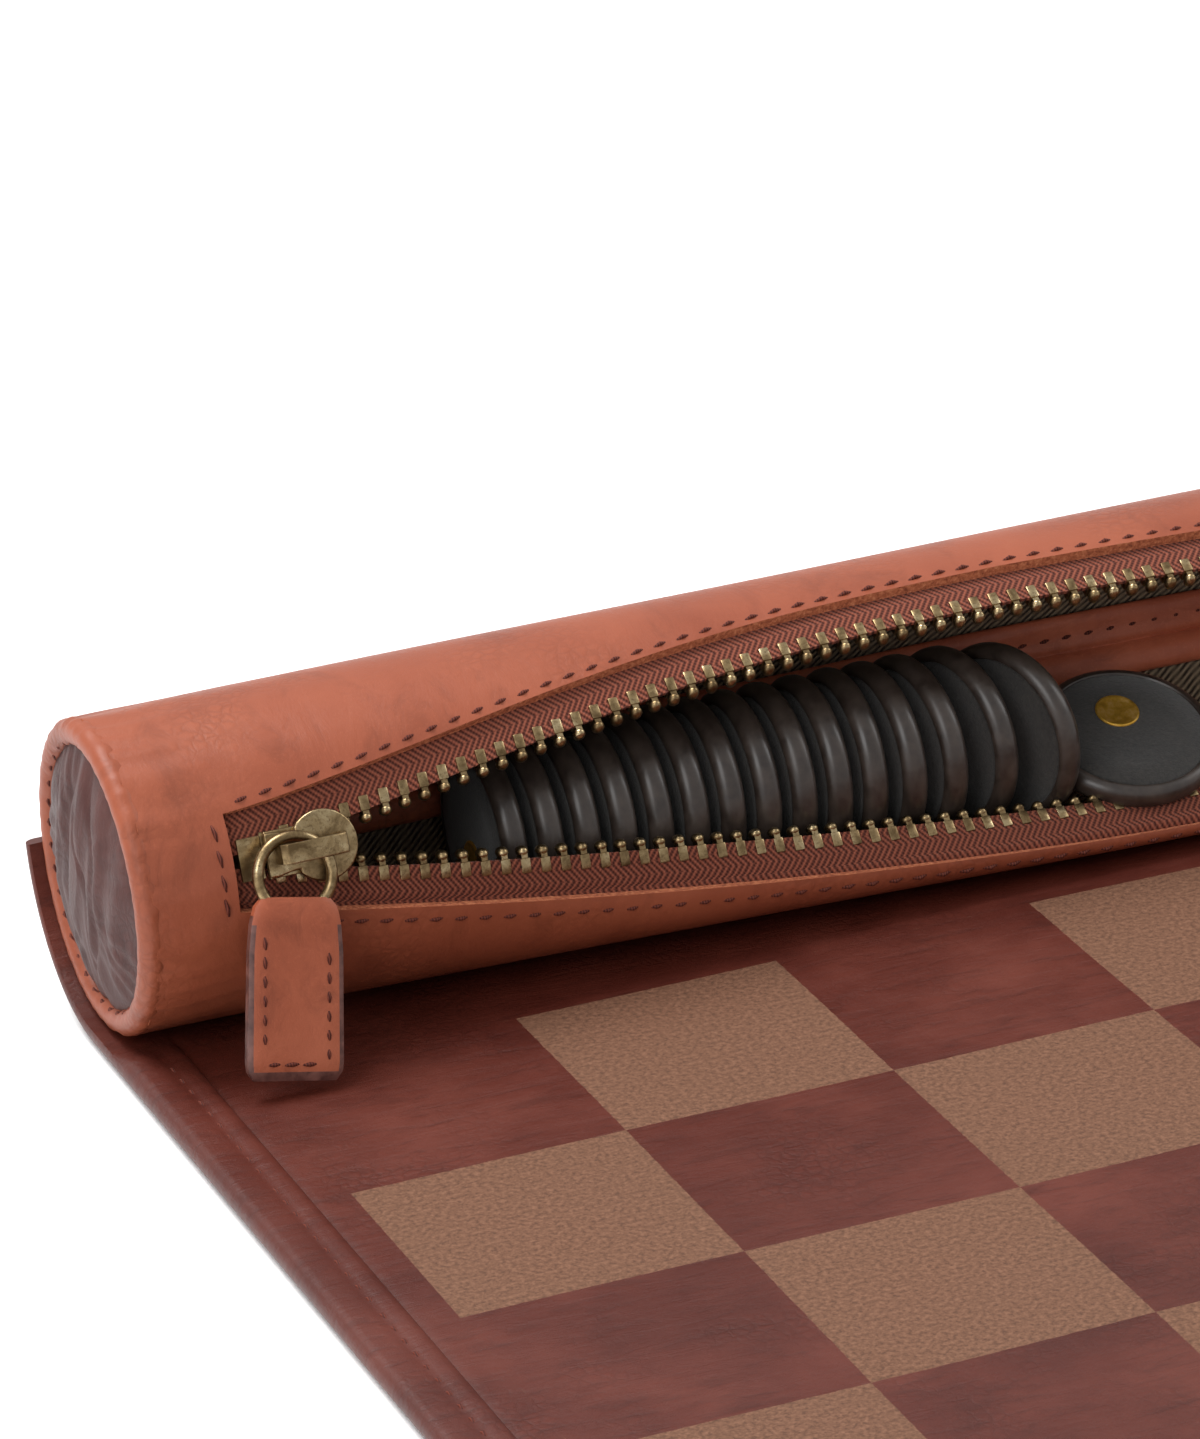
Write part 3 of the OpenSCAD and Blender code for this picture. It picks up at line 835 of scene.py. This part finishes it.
def slotted(name, xs, rows, slot_from, slot_to):
    """A tube swept along x whose wall is left open across the slot."""
    piece = swept_sheet(name, xs, len(rows), lambda x, k: rows[k])
    mesh = bmesh.new()
    mesh.from_mesh(piece.data)
    gap = []
    for face in mesh.faces:
        row, column = divmod(face.index, len(xs) - 1)
        if row >= LOW_N + BACK_N and slot_from - 1e-9 < xs[column] and xs[column + 1] < slot_to + 1e-9:
            gap.append(face)
    bmesh.ops.delete(mesh, geom=gap, context="FACES")
    mesh.to_mesh(piece.data)
    mesh.free()
    edit(piece, weld)
    return piece


def stations(half, slot_half, steps, end_steps=14):
    ends = np.linspace(slot_half, half, end_steps)[1:]
    return np.concatenate([-ends[::-1], np.linspace(-slot_half, slot_half, steps), ends])


def pouch_leather():
    xs = stations(tube_half, mouth_half, 240, 24)
    rows = wall_rows(xs, 0.0, creases=0.45 * MM)
    piece = slotted("pouch_leather_shell", xs, rows, -mouth_half, mouth_half)
    dress(piece, "tan_leather", TAN, EDGE)
    edit(piece, turn_out)
    modify(piece, "SOLIDIFY", thickness=LEATHER_T, offset=-1, use_rim=True, material_offset_rim=1,
           use_even_offset=False)
    smooth(piece, 50)
    put(piece, "pouch", "pouch_leather")


def from_axis(ring):
    """The way out from the tube's axis to each (y, z)."""
    return columns([np.zeros(len(ring)), ring - (tube_y, tube_z)])


def slot_stitches():
    """The seam that holds the tapes, round the slot."""
    xs = np.linspace(-mouth_half + 1 * MM, mouth_half - 1 * MM, 200)
    away = math.degrees(1.1 * MM / tube_r)
    out = tube_r + 0.12 * MM
    up = round_tube(upper_edge(xs) + away, out)
    low = lower_lip(0.965 - 0.12 * sag(xs), -0.08 * MM, sag(xs))
    lower = lower_lip(0.935 - 0.12 * sag(xs), -0.08 * MM, sag(xs))
    runs = [stitched(columns([xs, up]), from_axis(up), 3.3 * MM)]
    along_lip = low - lower
    normal = columns([xs * 0, -along_lip[:, 1], along_lip[:, 0]])
    runs.append(stitched(columns([xs, low]), normal, 3.3 * MM))
    for side in (-1, 1):
        angles = np.linspace(edge_low - away * 0.6, edge_high + away * 0.6, 12)
        ring = round_tube(angles, out)
        route = columns([np.full(12, side * (mouth_half + 1.6 * MM)), ring])
        runs.append(stitched(route, from_axis(ring), 3.1 * MM))
    sewn("slot_stitches", "tan_leather", *runs, body="pouch")


def pouch_lining():
    half = mouth_half + PAST_MOUTH
    xs = stations(tube_half - 3 * MM, half, 120, 4)
    reach = 0.94 - 0.16 * sag(xs)
    rows = wall_rows(xs, LEATHER_T + SKIN_GAP, math.degrees(TAPE_UNDER * 1.25 / tape_r), reach)
    piece = slotted("pouch_lining_cloth", xs, rows, -half, half)
    dress(piece, "lining_twill", TWILL)
    edit(piece, turn_out)
    declare_sheet(piece)
    modify(piece, "SOLIDIFY", thickness=LINING_T, offset=-1)
    smooth(piece, 60)
    put(piece, "pouch", "pouch_lining")


def inner_seam_strip():
    """A leather strip folded over the lining's seam, stitched along its lower edge."""
    lo, hi = corners("inner_seam_strip")
    _, y, z = (lo + hi) / 2
    centre_angle = 180 - math.degrees(math.atan2(z - tube_z, y - tube_y))
    inner = tube_r - LEATHER_T - SKIN_GAP - LINING_T
    profile = [(-15, 0.5), (-15, 1.0), (-12, 1.5), (-8, 1.3), (-4, 1.3), (-1, 1.4), (0.5, 1.0), (1.5, 0.95),
               (2.5, 1.5), (6, 2.0), (10, 2.0), (14, 1.8), (16, 1.2), (16, 0.5)]
    xs = np.linspace(lo[0], hi[0], 150)

    def outline(x, k):
        spread, height = profile[k]
        wander = 0.8 * np.sin(x * 38 + k * 0.2) + 0.5 * np.sin(x * 91)
        depth = height * MM - 0.1 * MM * np.sin(x * 160 + k)
        return round_tube(centre_angle + spread + wander, inner - depth)

    piece = swept_sheet("inner_leather_strip", xs, len(profile), outline)
    dress(piece, "tan_leather", STRIP_LEATHER)
    modify(piece, "SOLIDIFY", thickness=0.4 * MM, offset=0)
    modify(piece, "SUBSURF", levels=1, render_levels=1)
    smooth(piece, 60)
    put(piece, "pouch", "inner_seam_strip")
    seam = round_tube(np.full(60, centre_angle - 6.0), inner - 1.5 * MM)
    route = columns([np.linspace(lo[0] + 2 * MM, hi[0] - 2 * MM, 60), seam])
    sewn("strip_stitches", "tan_leather", stitched(route, -from_axis(seam), 3.2 * MM), body="pouch")


# Creases of a padded end as (place across it, width, depth in mm)
CREASES = ((-0.52, 0.05, 0.25), (-0.22, 0.04, 0.5), (-0.05, 0.035, 0.35), (0.2, 0.06, 0.45),
           (0.48, 0.04, 0.3))


def padded_end(side):
    """A padded leather end, drawn in at its seam, with the creases that come from the gathering."""
    name = "left" if side < 0 else "right"
    lo, hi = corners(f"{name}_end_cap")
    bulge = float(abs(hi[0] if side > 0 else lo[0])) - tube_half
    r = tube_r - 2.2 * MM
    piece = primitive(f"{name}_padded_end", bpy.ops.mesh.primitive_uv_sphere_add, segments=160,
                      ring_count=90, radius=1)
    co = points_of(piece)
    spread = np.hypot(co[:, 0], co[:, 1])
    angle = np.arctan2(co[:, 1], co[:, 0])
    front = co[:, 2] >= 0
    dome = bulge * (1 - spread ** 2.6) ** 0.8
    gather = 0.32 * MM * spread ** 3 * np.sin(angle * 23 + 3 * np.sin(angle * 5))
    dents = 0.28 * MM * np.sin(co[:, 0] * 17 + 2 * np.sin(co[:, 1] * 3)) * (1 - spread ** 4)
    for at, wide, deep in CREASES:
        line = at + 0.09 * np.sin(co[:, 1] * 3.4 + at * 9) + 0.03 * np.sin(co[:, 1] * 9 + at * 20)
        dents = dents - deep * MM * np.exp(-((co[:, 0] - line) / wide) ** 2) * (1 - spread ** 6)
    height = np.where(front, dome + (gather + dents) * (1 - spread ** 8), -1.4 * MM * (1 - spread ** 8))
    set_points(piece, columns([side * (tube_half + np.minimum(height, bulge)),
                                       tube_y + r * co[:, 0], tube_z + r * co[:, 1]]))
    edit(piece, turn_out)
    smooth(piece, 60)
    dress(piece, "end_leather", END_LEATHER)
    put(piece, "pouch", f"{name}_end_cap")

    rim = primitive(f"{name}_rolled_rim", bpy.ops.mesh.primitive_torus_add, major_segments=160,
                    minor_segments=20, major_radius=tube_r - RIM_R, minor_radius=RIM_R, rotation=LAID,
                    location=(side * (tube_half + 0.2 * MM), tube_y, tube_z))
    bpy.ops.object.transform_apply()
    co = points_of(rim)
    ray = co[:, 1:] - (tube_y, tube_z)
    angle = np.arctan2(ray[:, 1], ray[:, 0])
    pinch = 0.012 * (0.5 + 0.5 * np.sin(angle * 41 + 2 * np.sin(angle * 9)))
    co[:, 1:] -= ray * pinch[:, None]
    set_points(rim, co)
    smooth(rim, 80)
    put(dress(rim, "tan_leather", TAN), "pouch", f"{name}_rim")
    angles = np.linspace(0, 360, 90)
    ring = round_tube(angles, tube_r - 3.0 * MM)
    route = columns([np.full(90, side * (tube_half + 1.25 * MM)), ring])
    run = stitched(route, [(side, 0, 0)] * 90, 3.0 * MM)
    sewn(f"{name}_end_stitches", "tan_leather", run, body="pouch")


# ---------- zip ----------
def zip_tapes():
    half = mouth_half + PAST_MOUTH
    xs = np.linspace(-half, half, 260)
    depth = LEATHER_T + SKIN_GAP
    spans = np.linspace(-TAPE_UNDER, TAPE_OUT, 9)

    def upper(x, k):
        return upper_tape(x, spans[k], tube_r - depth)

    def lower(x, k):
        if k == 0:
            return lower_lip(0.955 - 0.135 * sag(x), depth, sag(x))
        return lower_tape(max(spans[k], 0), depth, sag(x))

    for name, outline, node, grows in (("zip_tape_top", upper, "zip_tape_upper", -1),
                                       ("zip_tape_bottom", lower, "zip_tape_lower", 1)):
        piece = dress(swept_sheet(name, xs, len(spans), outline), "zip_tape", TAPE)
        modify(piece, "SOLIDIFY", thickness=LINING_T * 0.9, offset=grows)
        smooth(piece, 60)
        put(piece, "pouch", node)


def tooth_model():
    """One cast tooth: a clamp over the tape's cord and a rounded head. Y runs from clamp to head."""
    clamp = primitive("clamp", bpy.ops.mesh.primitive_cube_add, size=1)
    set_points(clamp, (points_of(clamp) * (1.3, 1.9, 2.1) + (0, -0.75, 0)) * MM)
    modify(clamp, "BEVEL", width=0.2 * MM, segments=2)
    neck = primitive("neck", bpy.ops.mesh.primitive_cube_add, size=1)
    set_points(neck, (points_of(neck) * (0.8, 1.0, 1.7) + (0, 0.4, 0)) * MM)
    head = primitive("head", bpy.ops.mesh.primitive_uv_sphere_add, segments=10, ring_count=7, radius=1)
    set_points(head, (points_of(head) * (0.82, 0.72, 1.1) + (0, 1.0, 0)) * MM)
    tooth = joined("tooth", [clamp, neck, head])
    smooth(tooth, 45)
    return tooth


def zip_teeth():
    tooth = tooth_model()
    first = -mouth_half + 4.7 * MM
    count = int((2 * mouth_half - 10 * MM) / TOOTH_PITCH)
    middle = TOOTH_IN + TOOTH_L / 2
    upper, lower = [], []
    for k in range(count):
        x = first + k * TOOTH_PITCH
        up = math.degrees(middle / tape_r)
        place = along_tangent(x, upper_tape(x, middle, tape_r), upper_edge(x) - up)
        upper.append(place @ rotation(180, "Z"))
        x += TOOTH_PITCH / 2
        s = float(sag(x))
        lower.append(along_tangent(x, lower_tape(middle, tube_r - tape_r, s), lower_angle(middle, s)))
    for name, places in (("upper", upper), ("lower", lower)):
        row = dress(copies(f"zip_{name}_teeth", tooth, places), "antique_brass", BRASS)
        put(row, "pouch", f"zip_teeth_{name}")
    discard(tooth)


def on_zip(x):
    """The slider's place: X along the zip, Y up across it, Z outwards, from the tube's middle."""
    return along_tangent(x, (tube_y, tube_z), ZIP_ANGLE)


def plate(name, outline, low, high, edge):
    """A plate with a rounded edge, from an outline of (x, y) points."""
    piece = primitive(name, bpy.ops.mesh.primitive_circle_add, vertices=len(outline), radius=1,
                      fill_type="NGON")
    set_points(piece, columns([np.array(outline), np.full(len(outline), low)]))
    edit(piece, lambda: bpy.ops.mesh.extrude_region_move(
        TRANSFORM_OT_translate={"value": (0, 0, high - low)}))
    edit(piece, turn_out)
    modify(piece, "BEVEL", width=edge, segments=3, limit_method="ANGLE")
    smooth(piece, 50)
    return piece


def slider():
    lo, hi = corners("slider_body")
    x0 = float(lo[0])
    length = float(hi[0] - lo[0])
    head = 4.4 * MM
    top = tape_r + 1.35 * MM + PLATE_T
    waist = [(0.0, 2.7), (1.2, 2.75), (2.6, 2.45), (4.0, 2.3)]
    outline = [(x * MM, -y * MM) for x, y in waist]
    for a in range(-140, 141, 10):
        x, y = polar(head, a)
        outline.append((length - head + x, y))
    outline += [(x * MM, y * MM) for x, y in waist[::-1]]
    upper = plate("upper_plate", outline, top - PLATE_T, top, PLATE_EDGE)
    inner = [(x, max(min(y, 2.5 * MM), -2.5 * MM)) for x, y in outline]
    under = tape_r - 2.45 * MM
    lower = plate("lower_plate", inner, under - PLATE_T, under, PLATE_EDGE)
    back, front = 0.2 * MM, length - head - 3 * MM
    flanges = []
    for side in (-1, 1):
        far, near = side * 2.9 * MM, side * 2.3 * MM
        strip = [(back, far), (front, far), (front, near), (back, near)]
        flanges.append(plate(f"flange_{side}", strip, top - 1.9 * MM, top - 0.8 * MM, 0.15 * MM))
    post = primitive("post", bpy.ops.mesh.primitive_cylinder_add, vertices=24, radius=0.8 * MM,
                     depth=6 * MM, location=(length - 1.4 * MM, 0, top - 3.2 * MM))
    bpy.ops.object.transform_apply()
    body = joined("slider_casting", [upper, lower, post] + flanges)
    body.data.transform(on_zip(x0))
    put(dress(body, "antique_brass", BRASS), "slider", "slider_body")

    start, end = 1.0 * MM, length - 1.2 * MM
    rise = top + 3.3 * MM
    foot = top - 0.2 * MM
    path = np.array([(start, foot), (start, rise - 0.8 * MM), (start + 0.7 * MM, rise),
                     (start + 3 * MM, rise + 0.25 * MM), (end - 2.6 * MM, rise + 0.1 * MM),
                     (end - 0.9 * MM, rise - 0.7 * MM), (end, foot)])
    strap = grid("slider_strap", len(path) - 1, 2)
    co = points_of(strap)
    line = path[grid_line(co[:, 0], len(path) - 1)]
    set_points(strap, columns([line[:, 0], co[:, 1] * 2.5 * MM, line[:, 1]]))
    modify(strap, "SOLIDIFY", thickness=0.85 * MM, offset=-1)
    modify(strap, "BEVEL", width=0.15 * MM, segments=2, limit_method="ANGLE")
    modify(strap, "SUBSURF", levels=1, render_levels=1)
    edit(strap, turn_out)
    strap.data.transform(on_zip(x0))
    smooth(strap, 50)
    put(dress(strap, "antique_brass", BRASS), "slider", "slider_bridge")
    return x0, top


def pull(x0, top):
    ring_x = x0 + 2.6 * MM
    level = top + 1.35 * MM
    place = on_zip(ring_x) @ Matrix.Translation((0, -2.7 * MM, level))
    ring = primitive("pull_ring_wire", bpy.ops.mesh.primitive_torus_add, major_segments=72,
                     minor_segments=20, major_radius=4.7 * MM, minor_radius=0.7 * MM)
    ring.data.transform(place)
    smooth(ring, 80)
    put(dress(ring, "antique_brass", BRASS), "pull", "pull_ring")

    lo, hi = corners("pull_tab")
    tilt = rotation(-11, "Z")
    cos, sin = polar(1, 11)
    width, thick, start = 12.1 * MM, 2.4 * MM, 2.7 * MM
    slope = float(hi[2] - lo[2]) / math.cos(math.radians(ZIP_ANGLE))
    length = (slope - width * sin) / cos - 0.7 * MM
    tab = primitive("pull_tab_leather", bpy.ops.mesh.primitive_cube_add, size=1)
    edit(tab, lambda: bpy.ops.mesh.subdivide(number_cuts=19))
    co = points_of(tab)
    share = 0.5 - co[:, 1]
    half = width * np.interp(share, [0, 0.04, 0.14, 0.3, 0.91, 0.97, 1],
                             [0.35, 0.42, 0.465, 0.49, 0.5, 0.485, 0.43])
    thickness = thick * np.interp(share, [0, 0.08, 0.2, 0.93, 1], [0.7, 1.0, 0.88, 0.95, 0.55])
    thickness = thickness * (1 - 0.4 * (np.abs(co[:, 0]) * 2) ** 6)
    hollow = 0.175 * MM * np.clip(1 - (np.abs(co[:, 0]) / 0.33) ** 2, 0, 1)
    hollow *= (share > 0.25) * (co[:, 2] > 0.2)
    set_points(tab, columns([co[:, 0] * 2 * half, -start - share * length,
                                     co[:, 2] * thickness - hollow]))
    dress(tab, "tan_leather", TAB_LEATHER, DARK_EDGE)
    for polygon in tab.data.polygons:
        x, y = polygon.center[0], polygon.center[1]
        side = abs(x) > width * 0.44 or y < -start - length * 0.955
        polygon.material_index = 1 if side else 0
    modify(tab, "BEVEL", width=0.55 * MM, segments=3, limit_method="ANGLE", angle_limit=math.radians(50))
    tab.data.transform(place @ tilt)
    smooth(tab, 60)
    put(tab, "pull", "pull_tab")

    inset, level_out = 2.0 * MM, thick * 0.44 + 0.05 * MM
    x_side = width / 2 - inset
    y_top, y_bottom = -start - length * 0.2, -start - length + inset
    route = [(-x_side, y_top), (-x_side, y_bottom), (x_side, y_bottom), (x_side, y_top)]
    runs = [stitched([(*a, level_out), (*b, level_out)], [UP, UP], 2.3 * MM, 4)
            for a, b in zip(route, route[1:])]
    threads = sewn("tab_stitches", "tan_leather", *runs)
    threads.data.transform(place @ tilt)
    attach(threads, "pull")


# ---------- playing discs ----------
def disc_model(name, rim, face):
    """A disc with a burnished round edge and napped faces set in a fine groove; its gold dot is made
    separately.
    """
    half, r = DISC_T / 2, DISC_D / 2
    edge = 1.5 * MM
    inner = r - edge
    profile = [(0.0, half - 0.05 * MM), (r * 0.55, half - 0.05 * MM), (inner - 0.45 * MM, half - 0.06 * MM),
               (inner - 0.2 * MM, half - 0.3 * MM), (inner, half - 0.04 * MM)]
    for a in range(80, -1, -16):
        x, z = polar(edge, a)
        profile.append((inner + x, half - edge + z))
    profile += [(x, -z) for x, z in profile[::-1]]
    piece = dress(lathe(name, profile, 64, 0.01 * MM), None, rim, face)
    for polygon in piece.data.polygons:
        reach = math.hypot(polygon.center[0], polygon.center[1])
        polygon.material_index = 1 if reach < inner - 0.12 * MM else 0
    smooth(piece, 45)
    return piece


def dot_model():
    """A dished gold dot with a raised ring."""
    profile = [(0, -0.12), (0.55, -0.06), (0.8, 0.02), (0.88, 0.12), (0.96, 0.12), (1, 0), (1, -0.4)]
    face = DISC_T / 2 + 0.07 * MM
    piece = lathe("dot", [(x * DOT_D / 2, face + z * MM) for x, z in profile], 36)
    piece.data.transform(Matrix.Translation((DOT_OFF, 0, 0)))
    smooth(piece, 50)
    return piece


def standing(x, y, z, turned=0.0):
    return Matrix.Translation((x, y, z)) @ rotation(turned, "Z") @ rotation(-90, "Y")


def playing_discs():
    dark = disc_model("dark_model", DARK_RIM, BLACK_SUEDE)
    light = disc_model("light_model", TAN_RIM, TAN_SUEDE)
    dot = dot_model()
    dark_places, light_places = [], []
    for k in range(1, DISCS + 1):
        lo, hi = corners(f"dark_disc_{k}")
        x, y, z = (float(c) for c in (lo + hi) / 2)
        if k == DISCS:
            place = Matrix.Translation((x, y, z)) @ rotation(LYING_TILT, "X")
        else:
            place = standing(x, y, z, TURNED[k - 12] if k > 11 else 0)
        dark_places.append(place @ rotation(90 if k == DISCS else 180, "Z"))
        piece = dress(copies(f"dark_playing_disc_{k}", dark, [place @ Matrix.Rotation(k * 1.3, 4, "Z")]),
                      "dark_disc")
        put(piece, "pouch", f"dark_disc_{k}")
    lo, hi = corners("light_discs")
    first = float(lo[0]) + DISC_T / 2
    for k in range(DISCS):
        light_places.append(standing(first + k * DISC_PITCH, tube_y, float(lo[2] + hi[2]) / 2))
    piece = dress(copies("light_playing_discs", light, light_places), "light_disc")
    put(piece, "pouch", "light_discs")
    for name, places in (("dark", dark_places), ("light", light_places)):
        dots = dress(copies(f"{name}_gold_dots", dot, places), "gold_dot", GOLD)
        put(dots, "pouch", f"{name}_disc_dots")
    discard(dark, light, dot)


# ---------- light, floor and camera ----------
def studio():
    floor = primitive("floor", bpy.ops.mesh.primitive_plane_add, size=6, location=(0, 0, -0.3 * MM))
    paper = Recipe("studio_paper", Roughness=0.9, Base_Color=(0.92, 0.92, 0.92, 1))
    tooth = paper.noise(paper.place(), 40, 3)
    paper.colour(paper.ramp(tooth, (0.2, (0.93, 0.93, 0.93)), (0.8, (0.95, 0.95, 0.95))))
    floor.data.materials.append(paper.material)
    world = bpy.data.worlds.new("studio")
    bpy.context.scene.world = world
    bpy.context.scene.view_settings.view_transform = "Standard"
    world.use_nodes = True
    sky = world.node_tree.nodes["Background"].inputs
    sky["Color"].default_value = (1, 1, 1, 1)
    sky["Strength"].default_value = 0.6
    middle = Vector((0, 0.1, 0))
    for name, place, size, power in (("key", (-0.45, 0.55, 1.25), 0.7, 19.5),
                                     ("fill", (-1.2, -0.7, 0.9), 0.9, 8),
                                     ("side", (1.3, 0.0, 0.9), 0.8, 6)):
        light = bpy.data.lights.new(name, "AREA")
        light.size = size
        light.energy = power
        lamp = bpy.data.objects.new(name, light)
        lamp.location = place
        lamp.rotation_euler = (middle - Vector(place)).to_track_quat("-Z", "Y").to_euler()
        bpy.context.scene.collection.objects.link(lamp)


def camera():
    azimuth, elevation, roll = -21.43, 23.10, -2.95
    aim = Vector((-58, 210.6, 0)) * MM
    distance = 959 * MM
    a, e = math.radians(azimuth), math.radians(elevation)
    ahead = Vector((-math.sin(a) * math.cos(e), math.cos(a) * math.cos(e), -math.sin(e)))
    data = bpy.data.cameras.new("camera")
    data.lens = 176.6
    data.clip_end = 20
    eye = bpy.data.objects.new("camera", data)
    turn = ahead.to_track_quat("-Z", "Y").to_matrix().to_4x4()
    eye.matrix_world = (Matrix.Translation(aim - ahead * distance) @ turn
                        @ rotation(roll, "Z"))
    bpy.context.scene.collection.objects.link(eye)
    bpy.context.scene.camera = eye


camera()
studio()
rolling_mat()
front_of_mat()
wrapped_end()
pouch_leather()
slot_stitches()
pouch_lining()
inner_seam_strip()
for end_side in (-1, 1):
    padded_end(end_side)
recoat(BOARD, "left_stiffener", "right_stiffener")
zip_tapes()
zip_teeth()
pull(*slider())
recoat(BRASS, "zip_bottom_stop", "zip_top_stops")
playing_discs()
discard(STITCH)
